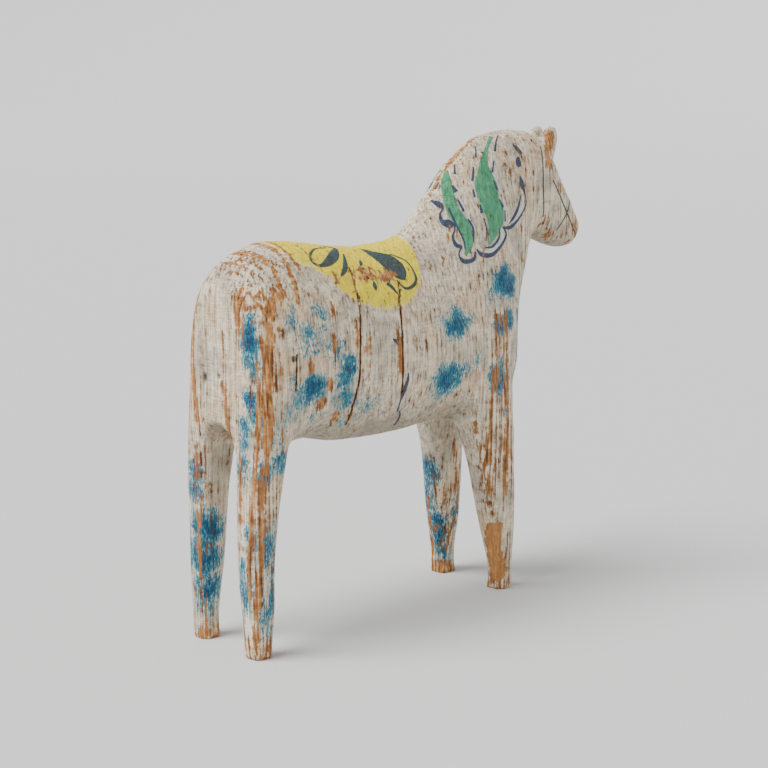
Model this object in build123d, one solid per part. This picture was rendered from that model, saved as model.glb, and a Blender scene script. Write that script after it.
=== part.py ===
"""A carved and painted dala horse, standing on its four hooves.

One block of pine is carved into trunk, neck, head, ears and legs, so all the wood is one solid.
Over it lie the coats of paint, each a thin closed film in a node of its own: a pale ground coat,
then a saddle cloth, its scrolls, the mane's locks and outlines, the bridle, the girth and the dapples.

Frame: millimetres, +X towards the muzzle, +Y towards the horse's left, +Z up.
The origin is on the floor, under the middle of the horse's bounding box.
"""

import os
from math import cos, pi, sin

from build123d import *

# ---------------------------------------------------------------- driving dimensions, in millimetres
GROUND_FILM = 0.3  # the pale ground coat
COLOUR_FILM = 0.3  # each coat of colour on top of it
BARE_HOOF = 4.0  # the ground coat stops this far above the floor
SIDE_REACH = 60.0  # further out to the side than any part of the horse
SMALLEST_DAB = 0.3  # cubic mm, below this a cut left a sliver and not a brush mark
PAST_MIDDLE = 3.0  # paint that runs over the crest stops this far down the left side
RECENTRE = -2.4  # brings the middle of the bounding box onto the origin

# The trunk, neck and head are one loft. Each station is a slice through the horse's middle plane:
# (belly point x, z), (back point x, z), half width, where the widest level lies between them,
# and how square the slice is below and above that level, 2 being an ellipse.
STATIONS = [
    ((-128.0, 112), (-127.4, 179), 17.0, 0.42, 4.2, 2.7),
    ((-127.3, 107), (-126.4, 184.5), 21.5, 0.38, 4.4, 2.6),
    ((-125.0, 103), (-123.2, 189), 25.8, 0.36, 4.6, 2.5),
    ((-120.5, 101), (-118.3, 193.5), 29.0, 0.35, 4.6, 2.3),
    ((-112.5, 101), (-110.5, 197.5), 30.7, 0.35, 4.4, 2.2),
    ((-101.0, 101.5), (-100.0, 200.3), 31.0, 0.37, 3.6, 2.2),
    ((-85.0, 102), (-85.0, 200), 31.0, 0.42, 3.0, 2.2),
    ((-64.0, 97.5), (-64.5, 197), 31.0, 0.48, 2.4, 2.1),
    ((-40.0, 95), (-43.0, 194), 31.0, 0.46, 2.3, 2.1),
    ((-16.0, 95), (-24.5, 194), 30.5, 0.45, 2.3, 2.0),
    ((10.0, 97), (-9.5, 195.5), 30.0, 0.42, 2.4, 1.9),
    ((37.0, 99), (0.5, 200), 29.2, 0.36, 2.8, 1.8),
    ((61.0, 105), (8.5, 208), 28.0, 0.32, 3.2, 1.7),
    ((70.5, 126), (19.0, 218.7), 25.5, 0.36, 2.9, 1.7),
    ((76.0, 149), (30.0, 230.5), 22.0, 0.40, 2.5, 1.7),
    ((83.5, 168), (40.5, 238.5), 19.0, 0.42, 2.5, 1.8),
    ((90.0, 184), (54.0, 245.5), 16.5, 0.45, 2.5, 1.9),
    ((94.5, 190.5), (73.0, 248), 14.5, 0.48, 2.6, 2.1),
    ((96.5, 191), (91.0, 247), 13.3, 0.48, 2.8, 2.4),
    ((99.5, 188.5), (105.5, 238), 12.4, 0.48, 2.8, 2.7),
    ((104.5, 185.7), (113.5, 225.5), 11.7, 0.48, 2.8, 2.9),
    ((110.5, 183.3), (119.5, 216.5), 11.0, 0.50, 2.8, 2.9),
    ((117.0, 181.4), (125.5, 208.0), 10.3, 0.50, 2.8, 2.9),
    ((123.5, 181.0), (131.0, 200.0), 9.6, 0.50, 2.8, 2.9),
    ((129.0, 183.0), (134.5, 194.5), 8.4, 0.50, 2.6, 2.6),
]
POINTS_ROUND = 16  # spline points round each slice

# Each leg is a loft of rounded squares: height, rear x, front x, inner y and outer y.
# A carver's four legs are never quite alike, so each has its own.
LEGS = {
    "hind_right": [
        (0, -128.0, -115.8, -14.9, -27.1),
        (35, -130.4, -115.0, -13.6, -29.2),
        (70, -130.0, -112.4, -11.2, -30.2),
        (98, -128.8, -105.8, -8.4, -30.8),
        (126, -126.5, -95.0, -2.0, -31.0),
        (150, -123.5, -90.0, 2.0, -30.0),
    ],
    "hind_left": [
        (0, -123.9, -112.1, 16.9, 28.7),
        (35, -125.3, -109.8, 16.0, 30.0),
        (70, -126.0, -106.5, 14.6, 30.7),
        (98, -126.4, -102.0, 12.6, 31.0),
        (126, -126.0, -93.0, 6.0, 31.0),
        (150, -123.5, -88.0, 0.0, 30.0),
    ],
    "fore_right": [
        (0, 47.3, 59.7, -14.4, -26.8),
        (30, 42.6, 60.3, -14.0, -28.0),
        (60, 35.6, 60.8, -11.6, -28.8),
        (88, 27.6, 61.0, -8.2, -29.2),
        (104, 22.0, 61.6, -3.0, -29.2),
        (130, 14.0, 61.4, 3.0, -27.4),
    ],
    "fore_left": [
        (0, 48.3, 61.1, 17.0, 29.4),
        (30, 45.2, 62.0, 15.4, 30.0),
        (60, 40.8, 61.8, 12.2, 30.0),
        (88, 33.6, 61.4, 8.6, 29.6),
        (104, 25.5, 61.8, 3.0, 29.2),
        (130, 14.0, 61.4, -3.0, 27.4),
    ],
}
LEG_SQUARENESS = 2.9

# The ears: height, rear x, front x, inner y and outer y, for the right ear and mirrored for the left.
EAR = [
    (232, 92.0, 110.0, 0.6, 9.6),
    (240, 98.0, 113.0, 1.0, 9.0),
    (245.5, 103.0, 113.6, 2.0, 7.6),
    (249.4, 106.6, 111.4, 3.2, 6.2),
]
EAR_SQUARENESS = 2.6


# The carver's round-topped cut between the hind legs: rear end and front end, each as
# x, height of its crown, half width, and how far its middle lies to the horse's left.
HIND_ARCH = [(-140.0, 118.5, 11.0, 3.4), (-97.0, 103.0, 9.5, 2.6)]
ARCH_FLOOR = 92.0  # below this the legs' own inner faces take over


# Painted decoration, as outlines and brush strokes seen from the right: x, z. The saddle cloth
# crosses the back; the rest is laid on the right side.
CLOTH = [(-95, 196), (-84, 184), (-69, 172), (-52, 164), (-36, 165), (-21, 172), (-9, 184), (-7, 197),
         (-30, 208), (-75, 212)]
SCROLL_RING = (-72, 193, 23, 7)  # middle x, z, then length and height
SCROLL_RING_WIDTH = 1.6
SCROLL_TICK = [(-57, 193), (-60, 189), (-66, 185)]
SCROLL_DOTS = [(-46, 190, 4.0), (-46, 179, 3.0)]
SCROLL_LEAF = [(-35, 193), (-28, 191), (-22, 186), (-22, 179), (-28, 176), (-35, 181), (-39, 187)]
SCROLL_LOOP = [(-18, 191), (-13, 186), (-14, 180), (-19, 175), (-27, 172)]
SCROLL_WIDTH = 1.6

MANE_LOCKS = [
    [(29, 231), (31, 216), (33, 204), (31, 193), (26, 184), (23, 191), (22, 203), (20, 214), (22, 224)],
    [(58, 244), (53, 234), (54, 223), (54, 210), (50, 200), (43, 191), (38, 200), (35, 212), (39, 224),
     (47, 235)],
]
MANE_SCALLOPS = [
    [(14, 214), (16, 207), (19, 200), (19, 192)],
    [(20, 186), (24, 182), (30, 184)],
    [(33, 188), (38, 185.5), (46, 187.5), (53, 195)],
    [(55, 197.5), (62, 198.5), (69, 205), (73, 214), (71, 223)],
]
MANE_SCALLOP_WIDTH = 1.8
MANE_TICKS = [[(70, 228), (71, 234)], [(36, 236), (37, 228)], [(45, 242), (44, 235)], [(62, 243), (60, 235)]]
MANE_TICK_WIDTH = 1.3

BRIDLE = [[(93, 237), (95, 201)], [(101, 220), (126, 187)], [(119, 207), (109, 191)]]
BRIDLE_WIDTH = 1.0
GIRTH = [[(-39, 157), (-37, 151)], [(-32, 131), (-30, 117), (-36, 102)]]
GIRTH_WIDTH = 2.0

# Dapples dabbed on with a stiff brush: middle x, z, then length and height.
DAPPLES = [(49, 169, 17, 14), (43, 147, 9, 9), (6, 152, 16, 12), (0, 123, 18, 14), (40, 121, 11, 13),
           (-96, 131, 13, 11), (-74, 134, 12, 20), (-113, 154, 7, 18)]


def closed_wire(points):
    """A smooth closed curve through the points."""
    steps = [i / len(points) for i in range(len(points) + 1)]
    return Wire([Edge.make_spline(points, periodic=True, parameters=steps)])


def rounded(value, power):
    """The superellipse's coordinate for a sine or cosine of the turn."""
    return abs(value) ** (2 / power) * (1 if value > 0 else -1)


def slice_wire(station, grow):
    """One closed slice through trunk, neck or head, grown outwards by grow."""
    belly, back, half_width, level, low_power, high_power = station
    bottom, top = Vector(belly[0], 0, belly[1]), Vector(back[0], 0, back[1])
    up = (top - bottom).normalized()
    height = (top - bottom).length
    points = []
    for i in range(POINTS_ROUND):
        turn = -pi / 2 + 2 * pi * i / POINTS_ROUND
        above = sin(turn) > 0
        power = high_power if above else low_power
        reach = (1 - level) * height if above else level * height
        along = level * height + (reach + grow) * rounded(sin(turn), power)
        side = (half_width + grow) * rounded(cos(turn), power)
        points.append(bottom + up * along + Vector(0, side, 0))
    return closed_wire(points)


def stake_wire(level, grow, squareness, mirrored=False):
    """One rounded square slice of a leg or an ear."""
    height, rear, front, inner, outer = level
    centre_x = (front + rear) / 2
    centre_y = (inner + outer) / 2 * (-1 if mirrored else 1)
    half_x, half_y = abs(front - rear) / 2 + grow, abs(outer - inner) / 2 + grow
    points = []
    for i in range(POINTS_ROUND):
        turn = 2 * pi * (i + 0.5) / POINTS_ROUND
        x = half_x * rounded(cos(turn), squareness)
        y = half_y * rounded(sin(turn), squareness)
        points.append(Vector(centre_x + x, centre_y + y, height))
    return closed_wire(points)


def trunk(grow):
    """Trunk, neck and head as one loft from the rump to the muzzle."""
    return Solid.make_loft([slice_wire(s, grow) for s in STATIONS])


def leg(name, grow):
    return Solid.make_loft([stake_wire(level, grow, LEG_SQUARENESS) for level in LEGS[name]])


def ear(grow, mirrored):
    return Solid.make_loft([stake_wire(level, grow, EAR_SQUARENESS, mirrored) for level in EAR])


def arch_face(end, grow):
    x, crown, half_width, middle = end
    half, top = half_width - grow, crown - grow
    shoulder = top - half
    with BuildLine() as line:
        up = Line((x, middle - half, ARCH_FLOOR), (x, middle - half, shoulder))
        over = ThreePointArc(up @ 1, (x, middle, top), (x, middle + half, shoulder))
        down = Line(over @ 1, (x, middle + half, ARCH_FLOOR))
        Line(down @ 1, up @ 0)
    return line.line


def hind_arch(grow):
    wires = [Wire(arch_face(end, grow).edges()) for end in HIND_ARCH]
    return Solid.make_loft(wires)


def horse(grow):
    pieces = [leg(name, grow) for name in LEGS]
    pieces += [ear(grow, False), ear(grow, True)]
    body = trunk(grow)
    body = body.fuse(*pieces) - hind_arch(grow)
    return Pos(RECENTRE, 0, 0) * body


def from_right(flat, past_middle=PAST_MIDDLE):
    """Stands a face drawn in x and z upright and carries it out past the horse's right flank."""
    standing = Pos(0, past_middle, 0) * Rot(90, 0, 0) * flat
    return extrude(standing, amount=SIDE_REACH + past_middle, dir=(0, -1, 0))


def patch(points):
    """A smooth closed outline through the given x and z points."""
    with BuildSketch() as sketch:
        with BuildLine():
            Spline(*points, periodic=True)
        make_face()
    return sketch.sketch


def stroke(points, width):
    """One brush stroke of even width along the given x and z points."""
    path = Line(*points) if len(points) == 2 else Spline(*points)
    return trace(path, line_width=width)


def saddle_scrolls():
    x, z, length, height = SCROLL_RING
    ring = Ellipse(length / 2, height / 2)
    ring -= Ellipse(length / 2 - SCROLL_RING_WIDTH, height / 2 - SCROLL_RING_WIDTH)
    dots = [Pos(dot_x, dot_z) * Rot(0, 0, 45) * Rectangle(size, size) for dot_x, dot_z, size in SCROLL_DOTS]
    strokes = [stroke(SCROLL_TICK, SCROLL_WIDTH), stroke(SCROLL_LOOP, SCROLL_WIDTH)]
    return [Pos(x, z) * ring, patch(SCROLL_LEAF)] + dots + strokes


def mane_outlines():
    """The scallops under the locks and the ticks between them, clear of the locks themselves."""
    scallops = [stroke(line, MANE_SCALLOP_WIDTH) for line in MANE_SCALLOPS]
    return scallops + [stroke(tick, MANE_TICK_WIDTH) for tick in MANE_TICKS]


def film(inner, outer, flats, past_middle=PAST_MIDDLE):
    """The paint between two coats' surfaces, inside outlines seen from the right."""
    laid = [(outer & from_right(flat, past_middle)) - inner for flat in flats]
    solids = [solid for piece in laid for solid in piece.solids()]
    return Compound(children=[solid for solid in solids if solid.volume > SMALLEST_DAB])


if __name__ == "__main__":
    os.makedirs("parts", exist_ok=True)
    wood = horse(0.0)
    ground = horse(GROUND_FILM)
    colour = horse(GROUND_FILM + COLOUR_FILM)
    over_colour = horse(GROUND_FILM + 2 * COLOUR_FILM)
    above_hooves = Pos(0, 0, BARE_HOOF + 200) * Box(400, 200, 400)

    locks = film(ground, colour, [patch(outline) for outline in MANE_LOCKS])
    nodes = {
        "carved_horse": wood,
        "ground_coat": (ground & above_hooves) - wood,
        "saddle_cloth": film(ground, colour, [patch(CLOTH)], past_middle=SIDE_REACH),
        "saddle_scrolls": film(colour, over_colour, saddle_scrolls()),
        "mane_locks": locks,
        "mane_outlines": film(ground, colour, mane_outlines()),
        "bridle_lines": film(ground, colour, [stroke(line, BRIDLE_WIDTH) for line in BRIDLE]),
        "girth_strokes": film(ground, colour, [stroke(line, GIRTH_WIDTH) for line in GIRTH]),
        "dapples": film(ground, colour, [Pos(x, z) * Ellipse(w / 2, h / 2) for x, z, w, h in DAPPLES]),
    }
    for name, shape in nodes.items():
        print(name, shape.is_valid, len(shape.solids()), round(shape.volume, 1))
        export_step(shape, f"parts/{name}.step")
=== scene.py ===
import bpy
import bmesh
import math
import numpy as np
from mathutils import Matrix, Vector
from mathutils.bvhtree import BVHTree


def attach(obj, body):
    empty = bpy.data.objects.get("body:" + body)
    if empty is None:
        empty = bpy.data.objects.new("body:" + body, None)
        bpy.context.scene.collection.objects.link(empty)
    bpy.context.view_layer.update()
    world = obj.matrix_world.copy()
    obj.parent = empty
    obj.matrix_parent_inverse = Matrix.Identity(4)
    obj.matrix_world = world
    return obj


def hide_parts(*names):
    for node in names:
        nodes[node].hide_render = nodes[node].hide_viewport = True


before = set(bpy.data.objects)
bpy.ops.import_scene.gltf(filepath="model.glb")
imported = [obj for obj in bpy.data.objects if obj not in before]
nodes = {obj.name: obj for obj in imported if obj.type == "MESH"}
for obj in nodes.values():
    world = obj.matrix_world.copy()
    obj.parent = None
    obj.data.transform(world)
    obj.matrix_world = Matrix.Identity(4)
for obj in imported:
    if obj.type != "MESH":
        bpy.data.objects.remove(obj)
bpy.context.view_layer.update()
luck = np.random.default_rng(7)  # one seeded source for every hand-made irregularity
print("frame loaded:", len(nodes), "nodes")


def hexColour(code):
    parts = [int(code[i:i + 2], 16) / 255 for i in (1, 3, 5)]
    return [p / 12.92 if p <= 0.04045 else ((p + 0.055) / 1.055) ** 2.4 for p in parts] + [1.0]


def addNode(tree, kind, inputs=None, **settings):
    made = tree.nodes.new(kind)
    for name, value in settings.items():
        setattr(made, name, value)
    for socket, value in (inputs or {}).items():
        if isinstance(value, bpy.types.NodeSocket):
            tree.links.new(value, made.inputs[socket])
        else:
            made.inputs[socket].default_value = value
    return made


# The carved block.

carving = {
    "voxel": 1.2,  # mm, the mesh the knife work is done on
    "wholeRelax": 7,  # first passes, over everything, to take the hard edges off
    "blendRelax": 45,  # all passes, where the legs and the rump run into the trunk
    "relaxStep": 0.6,  # share of the way to the neighbours' mean in one pass
    "swellStep": -0.42,  # and back again, so that the horse doesn't shrink
    "swellPasses": 30,
    "ridgeDepth": 0.22,  # mm, raised late wood between washed-out early wood
    "ridgeSpacing": 2.6,  # mm
    "ridgeLength": 46.0,  # mm along the grain
    "cutDepth": 0.75,  # mm, flats left by the knife
    "cutSize": 13.0,  # mm
    "seed": 3.7,
    "crackDepth": 1.1,  # mm
    "crackHalf": (0.15, 0.65),  # mm from its line: full depth, no depth
    "crackMesh": (3.4, 2.0),  # mm each side of a crack where the faces are split once, twice
    "chipDepth": 1.0,  # mm
    "chipHalf": (4.6, 6.2),  # mm from its line: split wood, sound paint
    "chipTop": 38,  # mm above the floor
}

# Drying cracks run down the grain: points along each, mm.
cracks = [
    [(-62, -27, 168), (-64, -31, 150), (-64, -30, 134), (-66, -28, 121), (-66, -22, 108)],
    [(-33, -27, 168), (-34, -30, 150), (-34, -31, 132), (-33, -29, 120)],
    [(-106, -30, 149), (-107, -31, 132)],
    [(-60, -20, 186), (-61, -24, 178), (-62, -27, 170)],
    [(-30, -24, 176), (-32, -27, 168)],
    [(60, 25, 120), (62, 26, 90)],
    [(-70, 28, 166), (-71, 31, 140), (-70, 29, 118)],
]
chip = [(42, -25, 35), (42, -24, 23), (45, -25, 10)]  # where a splinter came off the leg


def smoothPath(points, step=0.7):
    # Catmull-Rom through the points.
    points = np.array(points, float)
    ends = np.vstack([2 * points[0] - points[1], points, 2 * points[-1] - points[-2]])
    made = []
    for i in range(1, len(ends) - 2):
        a, b, c, d = ends[i - 1:i + 3]
        count = max(2, int(np.linalg.norm((c - b)[:3]) / step) + 1)
        t = np.linspace(0, 1, count, endpoint=False)[:, None]
        made.append(0.5 * (2 * b + (c - a) * t + (2 * a - 5 * b + 4 * c - d) * t ** 2
                           + (3 * b - a - 3 * c + d) * t ** 3))
    return np.vstack(made + [points[-1:]])


def ontoSurface(tree, points):
    # Nearest points of the horse, and the way out there.
    found = [tree.find_nearest(Vector(p)) for p in points]
    return np.array([f[0] for f in found]), np.array([f[1] for f in found])


def distanceTo(points, path):
    best = np.full(len(points), 1e9)
    for p in path:
        best = np.minimum(best, ((points - p) ** 2).sum(1))
    return np.sqrt(best)


def meshPoints(mesh):
    flat = np.zeros(len(mesh.vertices) * 3)
    mesh.vertices.foreach_get("co", flat)
    return flat.reshape(-1, 3) * 1000


def treeOf(mesh):
    return BVHTree.FromPolygons(meshPoints(mesh).tolist(), [tuple(p.vertices) for p in mesh.polygons])


def ease(value, low, high):
    t = np.clip((value - low) / (high - low), 0, 1)
    return t * t * (3 - 2 * t)


def carvedBlock():
    start = bpy.data.meshes.new("block")
    work = bmesh.new()
    work.from_mesh(nodes["carved_horse"].data)
    bmesh.ops.remove_doubles(work, verts=work.verts, dist=1e-6)
    work.to_mesh(start)
    work.free()
    holder = bpy.data.objects.new("block", start)
    bpy.context.scene.collection.objects.link(holder)
    remesh = holder.modifiers.new("even", "REMESH")
    remesh.mode = "VOXEL"
    remesh.voxel_size = carving["voxel"] / 1000
    bpy.context.view_layer.update()
    even = bpy.data.meshes.new_from_object(holder.evaluated_get(bpy.context.evaluated_depsgraph_get()))
    bpy.data.objects.remove(holder)
    return even


def relax(mesh):
    points = meshPoints(mesh)
    ends = np.zeros(len(mesh.edges) * 2, int)
    mesh.edges.foreach_get("vertices", ends)
    a, b = ends.reshape(-1, 2).T
    count = len(points)
    near = np.bincount(a, minlength=count) + np.bincount(b, minlength=count)

    def mean(values):
        return np.stack([np.bincount(a, values[b, k], count) + np.bincount(b, values[a, k], count)
                         for k in range(3)], 1) / near[:, None]

    x, y, z = points.T
    legTop = np.exp(-((z - 108) / 17) ** 2) * np.clip(ease(-x, 78, 96) + ease(x, 0, 16), 0, 1)
    rump = ease(-x, 108, 122) * ease(z, 112, 128)
    jaw = 0.5 * ease(x, 70, 84) * ease(-z, -208, -196)
    weight = np.clip(legTop + rump + jaw, 0, 1)[:, None]
    for turn in range(carving["blendRelax"]):
        soft = weight if turn >= carving["wholeRelax"] else np.maximum(weight, 0.75)
        soft = soft * ease(points[:, 2:3], 1.5, 6)
        points = points + soft * carving["relaxStep"] * (mean(points) - points)
        if turn % 2:  # swell back what the passes took off
            points = points + soft * carving["swellStep"] * (mean(points) - points) * (
                turn < carving["swellPasses"])
    points[:, 2] = np.maximum(points[:, 2], 0)
    mesh.vertices.foreach_set("co", (points / 1000).ravel())
    mesh.update()


def refine(mesh, paths, reach):
    # Splits the faces close to the cracks, so that a crack can be narrower than the voxels.
    points = meshPoints(mesh)
    close = distanceTo(points, np.vstack(paths)) < reach
    work = bmesh.new()
    work.from_mesh(mesh)
    work.verts.ensure_lookup_table()
    edges = [e for e in work.edges if close[e.verts[0].index] and close[e.verts[1].index]]
    bmesh.ops.subdivide_edges(work, edges=edges, cuts=1, use_grid_fill=True)
    work.to_mesh(mesh)
    work.free()


def weatheredGrain(finish):
    # Ridges of hard grain and the knife's flats, pushed along the surface's own normal.
    tree = bpy.data.node_groups.new("weatheredGrain", "GeometryNodeTree")
    face = tree.interface
    face.new_socket("Geometry", in_out="INPUT", socket_type="NodeSocketGeometry")
    for name in ("Ridge depth", "Ridge spacing", "Ridge length", "Cut depth", "Cut size", "Seed"):
        face.new_socket(name, in_out="INPUT", socket_type="NodeSocketFloat")
    face.new_socket("Finish", in_out="INPUT", socket_type="NodeSocketMaterial")
    face.new_socket("Geometry", in_out="OUTPUT", socket_type="NodeSocketGeometry")
    given = addNode(tree, "NodeGroupInput").outputs
    place = addNode(tree, "GeometryNodeInputPosition").outputs[0]
    inMm = addNode(tree, "ShaderNodeVectorMath", {0: place, "Scale": 1000}, operation="SCALE").outputs[0]
    stretch = addNode(tree, "ShaderNodeCombineXYZ", {0: given["Ridge spacing"], 1: given["Ridge spacing"],
                                                     2: given["Ridge length"]}).outputs[0]
    alongGrain = addNode(tree, "ShaderNodeVectorMath", {0: inMm, 1: stretch}, operation="DIVIDE").outputs[0]
    ridges = addNode(tree, "ShaderNodeTexNoise", {"Vector": alongGrain, "W": given["Seed"], "Scale": 1.0,
                                                  "Detail": 2.0}, noise_dimensions="4D").outputs[0]
    cutPlace = addNode(tree, "ShaderNodeCombineXYZ", {0: given["Cut size"], 1: given["Cut size"],
                                                      2: given["Cut size"]}).outputs[0]
    acrossCuts = addNode(tree, "ShaderNodeVectorMath", {0: inMm, 1: cutPlace}, operation="DIVIDE").outputs[0]
    longCuts = addNode(tree, "ShaderNodeVectorMath", {0: acrossCuts, 1: (1.0, 1.0, 0.5)},
                       operation="MULTIPLY").outputs[0]
    cuts = addNode(tree, "ShaderNodeTexVoronoi", {"Vector": longCuts, "W": given["Seed"], "Scale": 1.0,
                                                  "Smoothness": 0.25},
                   voronoi_dimensions="4D", feature="SMOOTH_F1").outputs[0]
    ridgeRise = addNode(tree, "ShaderNodeMath", {0: ridges, 1: 0.5}, operation="SUBTRACT").outputs[0]
    ridgePush = addNode(tree, "ShaderNodeMath", {0: ridgeRise, 1: given["Ridge depth"]},
                        operation="MULTIPLY").outputs[0]
    ridgePush = addNode(tree, "ShaderNodeMath", {0: ridgePush, 1: 3.0}, operation="MULTIPLY").outputs[0]
    cutRise = addNode(tree, "ShaderNodeMath", {0: cuts, 1: 0.55}, operation="SUBTRACT").outputs[0]
    cutPush = addNode(tree, "ShaderNodeMath", {0: cutRise, 1: given["Cut depth"]},
                      operation="MULTIPLY").outputs[0]
    both = addNode(tree, "ShaderNodeMath", {0: ridgePush, 1: cutPush}, operation="ADD").outputs[0]
    height = addNode(tree, "ShaderNodeSeparateXYZ", {0: inMm}).outputs[2]
    offSole = addNode(tree, "ShaderNodeMapRange", {"Value": height, "From Min": 0.5, "From Max": 5.0,
                                                   "To Min": 0.0, "To Max": 0.001}).outputs[0]
    push = addNode(tree, "ShaderNodeMath", {0: both, 1: offSole}, operation="MULTIPLY").outputs[0]
    outward = addNode(tree, "GeometryNodeInputNormal").outputs[0]
    shift = addNode(tree, "ShaderNodeVectorMath", {0: outward, "Scale": push}, operation="SCALE").outputs[0]
    moved = addNode(tree, "GeometryNodeSetPosition", {"Geometry": given["Geometry"], "Offset": shift})
    solid = addNode(tree, "GeometryNodeRealizeInstances", {0: moved.outputs[0]})
    painted = addNode(tree, "GeometryNodeSetMaterial", {"Geometry": solid.outputs[0],
                                                        "Material": given["Finish"]})
    addNode(tree, "NodeGroupOutput", {0: painted.outputs[0]})

    def fill(modifier):
        values = {"Ridge depth": carving["ridgeDepth"], "Ridge spacing": carving["ridgeSpacing"],
                  "Ridge length": carving["ridgeLength"], "Cut depth": carving["cutDepth"],
                  "Cut size": carving["cutSize"], "Seed": carving["seed"], "Finish": finish}
        for socket in face.items_tree:
            if socket.in_out == "INPUT" and socket.name in values:
                modifier[socket.identifier] = values[socket.name]
    return tree, fill


# Where the paint is worn, and the dabs.

# Bare wood: x, y, z of the middle, half width around, half height, and how bare.
bareSpots = [
    (-120, -6, 193, 10, 6, 0.5), (-121, -22, 176, 8, 8, 0.5), (-117, -13, 191, 9, 6, 0.36),
    (-126, -18, 178, 7, 8, 0.42), (-113, -24, 177, 7, 8, 0.42), (-110, -18, 190, 8, 6, 0.25),
    (-81, -31, 151, 1.6, 5, 0.8), (-80, -28, 169, 2.2, 6, 0.7), (-84, -31, 132, 2, 3, 0.8),
    (-89, -30, 122, 3, 4, 0.7), (-77, -26, 114, 4, 4, 0.6), (-97, -31, 142, 1.6, 4, 0.7),
    (-58, -31, 142, 3.4, 13, 0.62), (-66, -31, 155, 2, 8, 0.7), (-36, -31, 142, 2.0, 15, 0.7),
    (-23, -30, 144, 5, 8, 0.22), (42, -29, 116, 8, 18, 0.5), (48, -28, 84, 7, 26, 0.5),
    (-122, -28, 140, 7, 34, 0.36), (-127, -28, 80, 7, 40, 0.3), (36, -27, 70, 6, 30, 0.36),
    (-129, 14, 60, 9, 50, 0.2), (47, 18, 50, 9, 40, 0.34), (-130, -12, 60, 6, 50, 0.3),
    (44, -27, 146, 5, 14, 0.5), (102, -8, 242, 4, 7, 0.7), (99, -11, 231, 3, 6, 0.7),
    (108, -11, 216, 5, 7, 0.42), (126, -10, 192, 4, 5, 0.5), (122, -9, 184, 6, 4, 0.42),
    (104, -8, 189, 8, 4, 0.36), (93, -10, 197, 5, 4, 0.3), (76, -11, 238, 5, 5, 0.25),
    (62, -13, 230, 4, 12, 0.24), (61, -17, 210, 4, 8, 0.2), (45, -27, 20, 8, 22, 0.34),
    (48, 18, 2, 14, 5, 0.6), (50, -18, 2, 14, 5, 0.6), (-122, 20, 2, 14, 5, 0.6),
    (-125, -22, 4, 14, 8, 0.5), (-52, -21, 182, 12, 3.2, 0.7), (-38, -21, 180, 8, 3, 0.8),
    (-73, -23, 183, 2.5, 2.5, 0.55), (-118, 12, 192, 9, 6, 0.42), (-110, 24, 176, 7, 9, 0.4),
    (-60, 30, 140, 4, 14, 0.5), (10, 29, 140, 5, 12, 0.4), (46, 27, 110, 7, 20, 0.36),
    (108, 11, 214, 5, 8, 0.4),
]
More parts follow.
